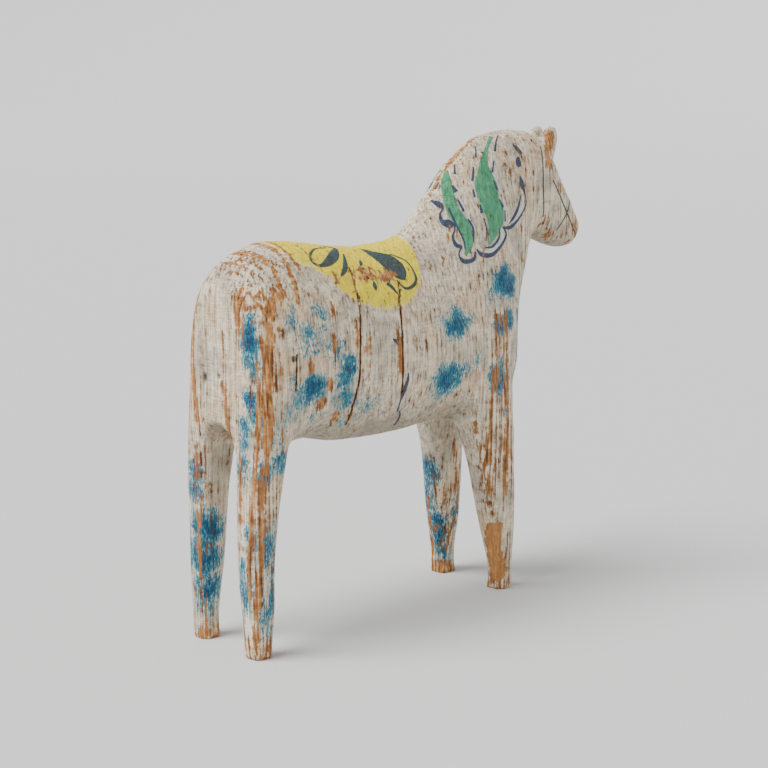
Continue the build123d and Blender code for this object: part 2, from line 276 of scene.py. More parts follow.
# Bare strips where hands and edges have rubbed: points, half width, how bare.
bareStrips = [
    ([(-112, -24, 178), (-118, -25, 172), (-121, -28, 155), (-123, -29, 139), (-124, -30, 123),
      (-125, -30, 106)], 2.6, 0.75),
    ([(-126, -30, 104), (-128, -30, 78), (-129, -29, 52), (-130, -27, 30), (-130, -26, 6)], 2.0, 0.55),
    ([(-128, -14, 182), (-130, -15, 169), (-130, -18, 154)], 3.0, 0.5),
    ([(-122, 12, 190), (-128, 18, 172), (-129, 20, 158), (-130, 20, 142), (-130, 18, 124), (-130, 16, 112)],
     1.8, 0.8),
    ([(-130, -4, 160), (-130, -5, 145), (-130, -5, 129), (-130, -7, 112), (-129, -9, 104)], 1.5, 0.6),
    ([(-127, -25, 147), (-127, -26, 131), (-129, -27, 107), (-131, -25, 70), (-131, -24, 30)], 1.2, 0.7),
    ([(-130, -15, 130), (-131, -16, 106), (-132, -18, 80), (-132, -20, 50)], 1.2, 0.55),
    ([(-116, -31, 166), (-116, -31, 130), (-116, -31, 108)], 0.7, 0.6),
    ([(-115, 8, 196), (-113, -7, 196), (-110, -16, 192), (-109, -22, 183), (-111, -25, 175)], 1.2, 0.8),
    ([(-105, 8, 200), (-102, -10, 198), (-101, -19, 190), (-101, -24, 180), (-102, -27, 174)], 1.3, 0.9),
    ([(-98, 2, 200), (-97, -9, 199), (-96, -17, 193), (-94, -22, 186)], 0.9, 0.8),
    ([(-86, -8, 199), (-83, -17, 193), (-80, -21, 187)], 0.8, 0.6),
    ([(47, -26, 150), (46, -28, 129), (46, -29, 108), (47, -29, 84), (46, -29, 52)], 1.8, 0.55),
    ([(38, -28, 122), (35, -28, 108), (33, -28, 88), (36, -28, 60)], 1.5, 0.6),
    ([(26, -25, 97), (29, -26, 80), (34, -26, 58)], 1.2, 0.5),
    ([(48, 11, 78), (52, 13, 55), (53, 14, 42), (50, 16, 14)], 1.5, 0.55),
    ([(42, 24, 44), (44, 25, 24), (46, 26, 6)], 1.6, 0.5),
    ([(-126, 16, 80), (-128, 19, 52), (-126, 18, 21), (-125, 19, 6)], 1.2, 0.5),
    ([(-129, 20, 100), (-130, 20, 70), (-129, 20, 40)], 1.0, 0.55),
    ([(15, -1, 217), (28, -1, 231), (41, -1, 241), (53, -1, 246)], 1.1, 0.7),
    ([(18, -13, 201), (14, -15, 191), (8, -18, 183)], 0.7, 0.75),
    ([(36, -21, 189), (34, -22, 182)], 0.7, 0.8),
    ([(71, -18, 187), (69, -19, 177)], 0.7, 0.6),
    ([(85, -13, 233), (83, -14, 220), (82, -15, 199)], 0.6, 0.45),
    ([(76, -14, 222), (75, -12, 236)], 0.6, 0.6),
    ([(103, -7, 246), (99, -10, 238), (96, -12, 228)], 1.8, 0.8),
    ([(129, -9, 196), (130, -8, 191), (126, -8, 185)], 1.4, 0.7),
    ([(-118, 26, 170), (-122, 28, 150), (-124, 29, 120), (-124, 28, 70), (-124, 27, 20)], 1.8, 0.6),
    ([(50, 26, 140), (52, 28, 100), (54, 28, 60), (56, 27, 20)], 1.6, 0.5),
]
# Blue dapples dabbed on with a stiff brush: x, y, z, half width around, half height, how full.
dapples = [
    (50, -24, 169, 11, 10, 1.0), (43, -27, 147, 6, 7, 0.85), (51, -26, 150, 5, 8, 0.7),
    (38, -25, 160, 6, 9, 0.5), (6, -28, 152, 12, 8.5, 0.9), (20, -29, 154, 7, 6, 0.5),
    (0, -29, 123, 12, 10, 0.95), (14, -29, 126, 6, 7, 0.5), (40, -29, 119, 8, 11, 0.9),
    (22, -29, 132, 5, 5, 0.6), (46, -28, 100, 4, 8, 0.5), (-96, -31, 131, 11, 8, 1.0),
    (-106, -31, 133, 7, 9, 0.55), (-97, -30, 158, 13, 15, 0.55), (-91, -30, 166, 10, 8, 0.5),
    (-106, -28, 164, 8, 8, 0.5), (-82, -31, 150, 9, 12, 0.5), (-74, -31, 136, 8, 17, 0.7),
    (-71, -31, 139, 5, 6, 0.95), (-75, -29, 123, 10, 8, 0.68), (-108, -31, 122, 8, 8, 0.5),
    (-92, -30, 118, 9, 6, 0.45), (-60, -28, 116, 8, 9, 0.6), (-68, -24, 110, 8, 5, 0.5),
    (-50, -30, 118, 5, 8, 0.45), (-128, -21, 157, 5, 15, 0.95), (-126, -24, 142, 4, 10, 0.8),
    (-129, -22, 128, 5, 7, 0.9), (-127, -26, 121, 6, 6, 0.75), (-130, -19, 114, 5, 11, 0.75),
    (-124, -29, 108, 5, 8, 0.62), (-116, -31, 112, 5, 9, 0.5), (-129, 21, 88, 6, 7, 0.9),
    (-129, 22, 77, 6, 6, 0.95), (-126, 14, 58, 12, 11, 1.0), (-127, 15, 44, 12, 16, 0.98),
    (-125, 16, 26, 11, 14, 0.86), (-131, -19, 95, 6, 8, 0.8), (-128, -29, 93, 6, 7, 0.8),
    (-118, -31, 98, 8, 8, 0.72), (-132, -25, 62, 5, 10, 0.66), (-124, -30, 52, 7, 16, 0.78),
    (-132, -22, 40, 6, 22, 0.72), (-124, -29, 26, 7, 16, 0.72), (38, 22, 60, 10, 10, 0.84),
    (41, 23, 43, 7, 14, 0.74), (43, 20, 26, 9, 15, 0.86), (47, 20, 12, 7, 9, 0.7), (54, 15, 34, 6, 14, 0.7),
    (62, -20, 150, 5, 11, 0.75), (60, -22, 124, 5, 10, 0.75),
]
# Painted shade under the jaw and between the legs, and handling dirt over the crest.
shadeAndDirtSpots = [
    (104, -8, 190, 11, 6, 0.55), (118, -8, 184, 9, 5, 0.45), (-124, 5, 106, 9, 9, 0.6),
    (-120, 12, 84, 9, 22, 0.34), (60, -15, 226, 9, 12, 0.22), (66, -12, 236, 8, 7, 0.22),
    (102, 8, 190, 11, 6, 0.5), (46, 8, 84, 10, 14, 0.3),
]
farDapples = [(x + luck.uniform(-9, 9), -y + 1, z + luck.uniform(-8, 8), a * 1.1, h * 1.05, f)
              for x, y, z, a, h, f in dapples if y < -15 and -110 < x < 60 and z > 100]
knots = [(-130, 10, 136, 1.6, 2.4), (-108, -31, 147.5, 1.5, 1.7),
         (-130, -1, 138, 0.9, 1.2), (26, -12, 90, 2.2, 2.6), (74, -15, 219, 1.3, 1.1),
         (-24, -30, 145, 0.9, 1.0), (71, -18, 178, 0.9, 0.9), (96, 9, 226, 1.0, 1.2)]


def spotField(points, spots):
    field = np.zeros(len(points))
    for x, y, z, around, height, full in spots:
        d = np.sqrt(((points[:, 0] - x) ** 2 + (points[:, 1] - y) ** 2) / around ** 2
                    + ((points[:, 2] - z) / height) ** 2)
        field = np.maximum(field, full * (1 - ease(d, 0.25, 1.75)))
    return field


def surfaceFields(points, tree):
    # How worn, dabbed, cracked and grimy each point of any piece is, with painted shade where the surface
    # faces down, under the jaw and between the legs; the materials read them.
    wear = spotField(points, bareSpots)
    for line, half, full in bareStrips:
        path, _ = ontoSurface(tree, smoothPath(line, 1.5))
        wear = np.maximum(wear, full * (1 - ease(distanceTo(points, path), half * 0.5, half * 1.7)))
    crack = np.zeros(len(points))
    for line in cracks:
        path, _ = ontoSurface(tree, smoothPath(line, 0.8))
        away = distanceTo(points, path)
        crack = np.maximum(crack, 1 - ease(away, *carving["crackHalf"]))
        wear = np.maximum(wear, 0.5 * (1 - ease(away, 0.5, 1.5)))
    for x, y, z, around, height in knots:
        d = np.sqrt(((points[:, 0] - x) ** 2 + (points[:, 1] - y) ** 2) / around ** 2
                    + ((points[:, 2] - z) / height) ** 2)
        crack = np.maximum(crack, 0.8 * (1 - ease(d, 0.6, 1.2)))
    path, _ = ontoSurface(tree, smoothPath(chip, 0.8))
    fresh = 1 - ease(distanceTo(points, path), *carving["chipHalf"])
    fresh = fresh * (points[:, 2] < carving["chipTop"])
    wear = np.maximum(wear, fresh)
    dab = spotField(points, dapples + farDapples)
    _, out = ontoSurface(tree, points)
    # painted shade: darker the more the surface faces down, with the painted shade and dirt spots on top
    shadeAndGrime = np.maximum(0.62 * ease(-out[:, 2], 0.1, 0.85), spotField(points, shadeAndDirtSpots))
    return {"wear": wear, "crack": crack, "dab": dab, "fresh": fresh, "shadeAndGrime": shadeAndGrime}


def writeFields(mesh, fields):
    for name, values in fields.items():
        layer = mesh.attributes.new(name, "FLOAT", "POINT")
        layer.data.foreach_set("value", np.asarray(values, np.float32))


# Materials.

pineAndGround = {
    "wood": ("#e0ac72", "#b47a44", "#5c3419"),  # slow-grown pine, handled and sun-browned
    "ground": ("#d3cab6", "#f8ecd2", "#f0d6b4"),  # chalky glue paint gone grey, cream and pinkish
    "rubbed": "#8a6a48",  # where the film is thin over the grain
    "vein": "#8b6c4c",  # open grain
    "dirt": "#5e5040",  # in pores and brush lines
    "shadeAndGrime": "#7b7260",  # painted shade underneath and between the legs, and handling dirt on the crest
    "fresh": "#c08850",  # freshly split wood
    "fleck": "#7a4c2e",  # ridge tops broken through
    "dab": ("#93b8b4", "#28788e", "#093a60"),  # thin to full
    "crack": "#2c170d",
}


def groundGroup():
    # Pine under chalky paint: colour, roughness, height and bareness at a point, shared by all pieces.
    tree = bpy.data.node_groups.new("pineUnderChalkPaint", "ShaderNodeTree")
    for name, kind in (("Color", "NodeSocketColor"), ("Roughness", "NodeSocketFloat"),
                       ("Height", "NodeSocketFloat"), ("Bare", "NodeSocketFloat")):
        tree.interface.new_socket(name, in_out="OUTPUT", socket_type=kind)
    place = addNode(tree, "ShaderNodeTexCoord").outputs["Object"]
    inMm = addNode(tree, "ShaderNodeVectorMath", {0: place, "Scale": 1000}, operation="SCALE").outputs[0]
    wear = addNode(tree, "ShaderNodeAttribute", attribute_name="wear").outputs["Fac"]
    crack = addNode(tree, "ShaderNodeAttribute", attribute_name="crack").outputs["Fac"]
    dab = addNode(tree, "ShaderNodeAttribute", attribute_name="dab").outputs["Fac"]
    fresh = addNode(tree, "ShaderNodeAttribute", attribute_name="fresh").outputs["Fac"]

    # Grain lines about 1.3 mm apart and 40 mm long; rings 3.2 mm wide round a heart near the rump.
    fineAt = addNode(tree, "ShaderNodeMapping", {0: inMm, "Scale": (0.75, 0.75, 0.024)}).outputs[0]
    fine = addNode(tree, "ShaderNodeTexNoise", {"Vector": fineAt, "Scale": 1.0, "Detail": 4.0,
                                                "Roughness": 0.6}).outputs[0]
    ringAt = addNode(tree, "ShaderNodeMapping", {0: inMm, "Location": (85, 0, 0),
                                                 "Scale": (1, 1, 0.04)}).outputs[0]
    rings = addNode(tree, "ShaderNodeTexWave", {"Vector": ringAt, "Scale": 0.098, "Distortion": 2.2,
                                                "Detail": 2.0, "Detail Scale": 0.6},
                    wave_type="RINGS", rings_direction="Z").outputs[1]
    mottle = addNode(tree, "ShaderNodeTexNoise", {"Vector": inMm, "Scale": 0.2, "Detail": 6.0,
                                                  "Roughness": 0.68}).outputs[0]
    patchy = addNode(tree, "ShaderNodeTexNoise", {"Vector": inMm, "Scale": 0.045, "Detail": 2.0}).outputs[0]
    hatchAt = addNode(tree, "ShaderNodeMapping", {0: inMm, "Rotation": (0.35, 0.55, 0),
                                                  "Scale": (0.09, 0.09, 1.25)}).outputs[0]
    hatch = addNode(tree, "ShaderNodeTexNoise", {"Vector": hatchAt, "Scale": 1.0, "Detail": 3.0}).outputs[0]

    # Bareness: grain, rings and mottling together, pushed over the edge where the paint is rubbed.
    rub = addNode(tree, "ShaderNodeMath", {0: fine, 1: 0.62}, operation="MULTIPLY").outputs[0]
    rub = addNode(tree, "ShaderNodeMath", {0: mottle, 1: 0.50, 2: rub}, operation="MULTIPLY_ADD").outputs[0]
    rub = addNode(tree, "ShaderNodeMath", {0: rings, 1: 0.05, 2: rub}, operation="MULTIPLY_ADD").outputs[0]
    worn = addNode(tree, "ShaderNodeMath", {0: wear, 1: 0.30, 2: rub}, operation="MULTIPLY_ADD").outputs[0]
    bare = addNode(tree, "ShaderNodeMapRange", {"Value": worn, "From Min": 0.682,
                                                "From Max": 0.742}).outputs[0]

    woodTone = addNode(tree, "ShaderNodeMath", {0: mottle, 1: 0.5, 2: fine},
                       operation="MULTIPLY_ADD").outputs[0]
    woodTone = addNode(tree, "ShaderNodeMath", {0: woodTone, 1: 0.25}, operation="SUBTRACT").outputs[0]
    wood = addNode(tree, "ShaderNodeValToRGB", {0: woodTone})
    wood.color_ramp.elements[0].position = 0.36
    wood.color_ramp.elements[0].color = hexColour(pineAndGround["wood"][0])
    wood.color_ramp.elements[1].position = 0.70
    wood.color_ramp.elements[1].color = hexColour(pineAndGround["wood"][2])
    middle = wood.color_ramp.elements.new(0.52)
    middle.color = hexColour(pineAndGround["wood"][1])
    chalk = addNode(tree, "ShaderNodeValToRGB", {0: patchy})
    chalk.color_ramp.elements[0].position = 0.36
    chalk.color_ramp.elements[0].color = hexColour(pineAndGround["ground"][0])
    chalk.color_ramp.elements[1].position = 0.64
    chalk.color_ramp.elements[1].color = hexColour(pineAndGround["ground"][2])
    middle = chalk.color_ramp.elements.new(0.5)
    middle.color = hexColour(pineAndGround["ground"][1])

    # Thin paint lets the brown through along the grain, and the brush hatching holds dirt.
    thin = addNode(tree, "ShaderNodeMapRange", {"Value": rub, "From Min": 0.52, "From Max": 0.69,
                                                "To Min": 0.0, "To Max": 0.7}).outputs[0]
    tinted = addNode(tree, "ShaderNodeMix", {0: thin, 6: chalk.outputs[0],
                                             7: hexColour(pineAndGround["rubbed"])},
                     data_type="RGBA").outputs[2]
    dirt = addNode(tree, "ShaderNodeMapRange", {"Value": hatch, "From Min": 0.57, "From Max": 0.74,
                                                "To Min": 0.0, "To Max": 0.34}).outputs[0]
    tinted = addNode(tree, "ShaderNodeMix", {0: dirt, 6: tinted, 7: hexColour(pineAndGround["dirt"])},
                     data_type="RGBA").outputs[2]

    # Hairlines of open grain, 0.5 mm across, and soot-filled pores.
    veinAt = addNode(tree, "ShaderNodeMapping", {0: inMm, "Scale": (1.5, 1.5, 0.035)}).outputs[0]
    vein = addNode(tree, "ShaderNodeTexNoise", {"Vector": veinAt, "Scale": 1.0, "Detail": 3.0,
                                                "Roughness": 0.6}).outputs[0]
    veined = addNode(tree, "ShaderNodeMapRange", {"Value": vein, "From Min": 0.55, "From Max": 0.68,
                                                  "To Max": 0.6}).outputs[0]
    tinted = addNode(tree, "ShaderNodeMix", {0: veined, 6: tinted, 7: hexColour(pineAndGround["vein"])},
                     data_type="RGBA").outputs[2]
    pore = addNode(tree, "ShaderNodeTexNoise", {"Vector": inMm, "Scale": 0.9, "Detail": 3.0,
                                                "Roughness": 0.7}).outputs[0]
    pored = addNode(tree, "ShaderNodeMapRange", {"Value": pore, "From Min": 0.63, "From Max": 0.72,
                                                 "To Max": 0.55}).outputs[0]
    tinted = addNode(tree, "ShaderNodeMix", {0: pored, 6: tinted, 7: hexColour(pineAndGround["dirt"])},
                     data_type="RGBA").outputs[2]
    # Painted shade under the horse, under the jaw and between the legs, with some handling dirt, mixed in as
    # grey-brown.
    shadeAndGrime = addNode(tree, "ShaderNodeAttribute", attribute_name="shadeAndGrime").outputs["Fac"]
    tinted = addNode(tree, "ShaderNodeMix", {0: shadeAndGrime, 6: tinted, 7: hexColour(pineAndGround["shadeAndGrime"])},
                     data_type="RGBA").outputs[2]

    # Blue stipple: bristle marks 1 mm across, a little longer down the grain.
    bristleAt = addNode(tree, "ShaderNodeMapping", {0: inMm, "Scale": (1.15, 1.15, 0.45)}).outputs[0]
    bristle = addNode(tree, "ShaderNodeTexNoise", {"Vector": bristleAt, "Scale": 1.0, "Detail": 4.0,
                                                   "Roughness": 0.75}).outputs[0]
    patch = addNode(tree, "ShaderNodeTexNoise", {"Vector": inMm, "Scale": 0.13, "Detail": 2.0}).outputs[0]
    speckle = addNode(tree, "ShaderNodeMath", {0: patch, 1: 0.55}, operation="MULTIPLY").outputs[0]
    speckle = addNode(tree, "ShaderNodeMath", {0: bristle, 1: 1.05, 2: speckle},
                      operation="MULTIPLY_ADD").outputs[0]
    load = addNode(tree, "ShaderNodeMath", {0: dab, 1: 0.50, 2: speckle}, operation="MULTIPLY_ADD").outputs[0]
    upright = addNode(tree, "ShaderNodeSeparateXYZ", {0: inMm}).outputs[2]  # on the legs the brush ran down
    onLeg = addNode(tree, "ShaderNodeMapRange", {"Value": upright, "From Min": 105.0, "From Max": 70.0,
                                                 "To Min": 0.12, "To Max": 0.75}).outputs[0]
    drawn = addNode(tree, "ShaderNodeMath", {0: vein, 1: 0.5}, operation="SUBTRACT").outputs[0]
    load = addNode(tree, "ShaderNodeMath", {0: drawn, 1: onLeg, 2: load}, operation="MULTIPLY_ADD").outputs[0]
    blue = addNode(tree, "ShaderNodeMapRange", {"Value": load, "From Min": 1.03, "From Max": 1.09}).outputs[0]
    depth = addNode(tree, "ShaderNodeMapRange", {"Value": load, "From Min": 1.00,
                                                 "From Max": 1.38}).outputs[0]
    blueTone = addNode(tree, "ShaderNodeValToRGB", {0: depth})
    blueTone.color_ramp.elements[0].color = hexColour(pineAndGround["dab"][0])
    blueTone.color_ramp.elements[1].color = hexColour(pineAndGround["dab"][2])
    middle = blueTone.color_ramp.elements.new(0.5)
    middle.color = hexColour(pineAndGround["dab"][1])
    painted = addNode(tree, "ShaderNodeMix", {0: blue, 6: tinted, 7: blueTone.outputs[0]},
                      data_type="RGBA").outputs[2]

    # Freshly split wood is plainer and yellower than wood that has been handled.
    plain = addNode(tree, "ShaderNodeMath", {0: fresh, 1: 0.55}, operation="MULTIPLY").outputs[0]
    split = addNode(tree, "ShaderNodeMix", {0: plain, 6: wood.outputs[0],
                                            7: hexColour(pineAndGround["fresh"])},
                    data_type="RGBA").outputs[2]
    shown = addNode(tree, "ShaderNodeMix", {0: bare, 6: painted, 7: split}, data_type="RGBA").outputs[2]

    # Brown flecks where the ridge tops have broken through, 0.8 by 4 mm.
    fleckAt = addNode(tree, "ShaderNodeMapping", {0: inMm, "Scale": (1.1, 1.1, 0.24)}).outputs[0]
    fleck = addNode(tree, "ShaderNodeTexNoise", {"Vector": fleckAt, "Scale": 1.0, "Detail": 2.0}).outputs[0]
    flecked = addNode(tree, "ShaderNodeMapRange", {"Value": fleck, "From Min": 0.655, "From Max": 0.70,
                                                   "To Max": 0.75}).outputs[0]
    shown = addNode(tree, "ShaderNodeMix", {0: flecked, 6: shown, 7: hexColour(pineAndGround["fleck"])},
                    data_type="RGBA").outputs[2]
    shown = addNode(tree, "ShaderNodeMix", {0: crack, 6: shown, 7: hexColour(pineAndGround["crack"])},
                    data_type="RGBA").outputs[2]

    rough = addNode(tree, "ShaderNodeMapRange", {"Value": bare, "To Min": 0.62, "To Max": 0.78}).outputs[0]
    film = addNode(tree, "ShaderNodeMath", {0: bare, 1: -0.35, 2: fine}, operation="MULTIPLY_ADD").outputs[0]
    high = addNode(tree, "ShaderNodeMath", {0: mottle, 1: 0.8, 2: film}, operation="MULTIPLY_ADD").outputs[0]
    high = addNode(tree, "ShaderNodeMath", {0: hatch, 1: 0.5, 2: high}, operation="MULTIPLY_ADD").outputs[0]
    high = addNode(tree, "ShaderNodeMath", {0: bristle, 1: 0.35, 2: high},
                   operation="MULTIPLY_ADD").outputs[0]
    high = addNode(tree, "ShaderNodeMath", {0: crack, 1: -1.2, 2: high}, operation="MULTIPLY_ADD").outputs[0]
    addNode(tree, "NodeGroupOutput", {"Color": shown, "Roughness": rough, "Height": high, "Bare": bare})
    return tree


pineGroup = groundGroup()


def chalkPaint(name, tones=None, cover=0.55):
    # The worn block on its own, or with a thin brushed colour over it that goes where the ground goes.
    material = bpy.data.materials.new(name)
    material.use_nodes = True
    tree = material.node_tree
    tree.nodes.clear()
    ground = addNode(tree, "ShaderNodeGroup", node_tree=pineGroup).outputs
    colour = ground["Color"]
    if tones:
        place = addNode(tree, "ShaderNodeTexCoord").outputs["Object"]
        inMm = addNode(tree, "ShaderNodeVectorMath", {0: place, "Scale": 1000}, operation="SCALE").outputs[0]
        brushAt = addNode(tree, "ShaderNodeMapping", {0: inMm, "Scale": (0.5, 0.5, 0.16)}).outputs[0]
        brush = addNode(tree, "ShaderNodeTexNoise", {"Vector": brushAt, "Scale": 1.0, "Detail": 4.0,
                                                     "Roughness": 0.6}).outputs[0]
        ramp = addNode(tree, "ShaderNodeValToRGB", {0: brush})
        ramp.color_ramp.elements[0].position = 0.34
        ramp.color_ramp.elements[0].color = hexColour(tones[0])
        ramp.color_ramp.elements[1].position = 0.66
        ramp.color_ramp.elements[1].color = hexColour(tones[1])
        rim = addNode(tree, "ShaderNodeAttribute", attribute_name="rim").outputs["Fac"]
        fade = addNode(tree, "ShaderNodeMath", {0: rim, 1: cover, 2: brush},
                       operation="MULTIPLY_ADD").outputs[0]
        kept = addNode(tree, "ShaderNodeMapRange", {"Value": fade, "From Min": 0.55,
                                                    "From Max": 0.72}).outputs[0]
        lost = addNode(tree, "ShaderNodeMath", {0: 1.0, 1: ground["Bare"]}, operation="SUBTRACT").outputs[0]
        kept = addNode(tree, "ShaderNodeMath", {0: kept, 1: lost}, operation="MULTIPLY").outputs[0]
        kept = addNode(tree, "ShaderNodeMath", {0: kept, 1: 0.94}, operation="MULTIPLY").outputs[0]
        colour = addNode(tree, "ShaderNodeMix", {0: kept, 6: colour, 7: ramp.outputs[0]},
                         data_type="RGBA").outputs[2]
    bump = addNode(tree, "ShaderNodeBump", {"Height": ground["Height"], "Strength": 1.0, "Distance": 0.0013})
    shader = addNode(tree, "ShaderNodeBsdfPrincipled", {"Base Color": colour, "Normal": bump.outputs[0],
                                                        "Roughness": ground["Roughness"], "IOR": 1.45,
                                                        "Specular IOR Level": 0.35})
    addNode(tree, "ShaderNodeOutputMaterial", {0: shader.outputs[0]})
    return material


wornPine = chalkPaint("chalk_paint_on_carved_pine")
clothYellow = chalkPaint("egg_tempera_yellow", ("#e2c300", "#fdeb28"), 0.62)
lockGreen = chalkPaint("egg_tempera_green", ("#1c7a50", "#4aab7e"), 0.62)
outlineNavy = chalkPaint("egg_tempera_navy", ("#132440", "#24456e"), 0.75)
scrollTeal = chalkPaint("egg_tempera_teal", ("#0b222c", "#124a4c"), 0.75)
whiteLine = chalkPaint("egg_tempera_white", ("#dfe3e4", "#cfd9df"), 0.7)


# Build the horse.

block = carvedBlock()
relax(block)
crackLines = [smoothPath(line, 1.2) for line in cracks]
print("block relaxed:", len(block.polygons), "faces")
refine(block, crackLines + [smoothPath(chip, 1.2)], carving["crackMesh"][0])
refine(block, crackLines, carving["crackMesh"][1])
print("refined round the cracks:", len(block.polygons), "faces")

holder = bpy.data.objects.new("paintedHorse", block)
bpy.context.scene.collection.objects.link(holder)
grainNodes, fillGrain = weatheredGrain(wornPine)
grain = holder.modifiers.new("weatheredGrain", "NODES")
grain.node_group = grainNodes
fillGrain(grain)
bpy.context.view_layer.update()
carved = bpy.data.meshes.new_from_object(holder.evaluated_get(bpy.context.evaluated_depsgraph_get()))
holder.modifiers.remove(grain)
holder.data = carved

points = meshPoints(carved)
horseTree = treeOf(carved)
fields = surfaceFields(points, horseTree)
flat = np.zeros(len(points) * 3)
carved.vertices.foreach_get("normal", flat)
normals = flat.reshape(-1, 3)
splinter = fields["fresh"] * ease(points[:, 2], 4, 9)
rough = 0.12 * np.sin(points[:, 0] * 2.1 + points[:, 1] * 1.7)
points = points - normals * (carving["chipDepth"] * splinter * (1 + rough)
                             + carving["crackDepth"] * fields["crack"])[:, None]
carved.vertices.foreach_set("co", (points / 1000).ravel())
carved.update()
carved.polygons.foreach_set("use_smooth", [True] * len(carved.polygons))
writeFields(carved, fields)
writeFields(carved, {"rim": np.zeros(len(points))})
horseTree = treeOf(carved)
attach(holder, "root")
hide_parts("carved_horse", "ground_coat", "dapples")
print("horse carved and worn:", len(carved.vertices), "points")


# Brushed decoration, a thin skin of paint.

paintSkin = {
    "broadLift": 0.14,  # mm above the ground: the cloth, the locks and the white lines
    "lineLift": 0.18,  # dark lines, which cross the locks
    "scrollLift": 0.24,  # the scrolls, on the yellow
    "sink": 0.25,  # mm below the surface, so that the skin is closed inside the wood
    "step": 0.7,  # mm along a stroke
    "across": 0.6,  # mm across it
    "narrowest": 0.35,  # mm
    "fillStep": 0.5,  # mm along a filled shape
    "fillAcross": 0.8,
}


def skin(store, grid, rim):
    # Adds a closed skin over a grid of points (rows, columns, xyz).
    rows, columns = grid.shape[:2]
    found, out = ontoSurface(horseTree, grid.reshape(-1, 3))
    top = found + out * store["lift"]
    low = found - out * paintSkin["sink"]
    base = len(store["points"])
    count = rows * columns
    store["points"].extend(top.tolist() + low.tolist())
    store["rim"].extend(list(rim.ravel()) * 2)

    def at(i, j, under=0):
        return base + under * count + i * columns + j

    for i in range(rows - 1):
        for j in range(columns - 1):
            store["faces"].append((at(i, j), at(i, j + 1), at(i + 1, j + 1), at(i + 1, j)))
            store["faces"].append((at(i, j, 1), at(i + 1, j, 1), at(i + 1, j + 1, 1), at(i, j + 1, 1)))
    for i in range(rows - 1):
        for j, turn in ((0, 1), (columns - 1, 0)):
            wall = (at(i, j), at(i + 1, j), at(i + 1, j, 1), at(i, j, 1))
            store["faces"].append(wall if turn else wall[::-1])
    for j in range(columns - 1):
        for i, turn in ((0, 0), (rows - 1, 1)):
            wall = (at(i, j), at(i, j + 1), at(i, j + 1, 1), at(i, j, 1))
            store["faces"].append(wall if turn else wall[::-1])


def newStore(lift):
    return {"points": [], "faces": [], "rim": [], "lift": lift}


def bothSides(points):
    points = np.array(points, float)
    far = points.copy()
    far[:, 1] *= -1
    return points, far


def stroke(store, line):
    # One pull of the brush on each side of the horse: points of x, y, z and width.
    for points in bothSides(line):
        path = smoothPath(points, paintSkin["step"])
        middle, out = ontoSurface(horseTree, path[:, :3])
        width = np.maximum(path[:, 3], paintSkin["narrowest"])
        along = np.gradient(middle, axis=0)
        across = np.cross(out, along)
        across /= np.linalg.norm(across, axis=1)[:, None] + 1e-9
        columns = 2 * max(1, int(width.max() / paintSkin["across"] / 2 + 0.5)) + 1
        side = np.linspace(-0.5, 0.5, columns)
        grid = middle[:, None, :] + across[:, None, :] * (width[:, None] * side[None, :])[:, :, None]
        skin(store, grid, np.ones(grid.shape[:2]))


def filled(store, left, right, fade=0.0):
    # A brushed shape between two edges; it thins out over the last part of its length.
    for a, b in zip(bothSides(left), bothSides(right)):
        a, b = smoothPath(a, paintSkin["fillStep"]), smoothPath(b, paintSkin["fillStep"])
        rows = max(len(a), len(b))
        t = np.linspace(0, 1, rows)
        a = np.stack([np.interp(t, np.linspace(0, 1, len(a)), a[:, k]) for k in range(3)], 1)
        b = np.stack([np.interp(t, np.linspace(0, 1, len(b)), b[:, k]) for k in range(3)], 1)
        columns = max(4, int(np.linalg.norm(a - b, axis=1).max() / paintSkin["fillAcross"]))
        s = np.linspace(0, 1, columns)[None, :, None]
        grid = a[:, None, :] * (1 - s) + b[:, None, :] * s
        rim = np.repeat((1 - fade * ease(t, 0.72, 1.0))[:, None], columns, 1)
        skin(store, grid, rim)


def paintPiece(name, store, material, slot, *replaced):
    mesh = bpy.data.meshes.new(name)
    mesh.from_pydata((np.array(store["points"]) / 1000).tolist(), [], store["faces"])
    writeFields(mesh, {"rim": store["rim"]})
    work = bmesh.new()
    work.from_mesh(mesh)
    bmesh.ops.remove_doubles(work, verts=work.verts, dist=2e-6)
    bmesh.ops.recalc_face_normals(work, faces=work.faces)
    work.to_mesh(mesh)
    work.free()
    writeFields(mesh, surfaceFields(meshPoints(mesh), horseTree))
    mesh.materials.append(material)
    mesh.polygons.foreach_set("use_smooth", [True] * len(mesh.polygons))
    piece = bpy.data.objects.new(name, mesh)
    bpy.context.scene.collection.objects.link(piece)
    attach(piece, "root")
    if replaced:
        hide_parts(*replaced)
    print("painted", name, len(mesh.polygons), "faces")


yellowCloth = {
    # Stations along the back and how low the cloth's edge hangs at each, mm.
    "edge": [(-104, 201), (-102, 199), (-98, 196), (-95, 191), (-87, 188), (-80, 184), (-75, 179), (-70, 173),
             (-63, 169), (-51, 165), (-39, 163.5), (-29, 164), (-20, 167), (-14, 173), (-10, 180), (-8, 188),
             (-7, 195)],
    "heart": 150,  # mm above the floor, where the sweep down each side turns
    "outside": 120,  # mm from the heart, clear of the horse
    "sweep": 110,  # degrees down from the back
    "looks": 221,  # places tried in the sweep
    "columns": 41,  # from the back to one edge
    "thinRim": 9.0,  # mm, the colour thins towards the edge
}


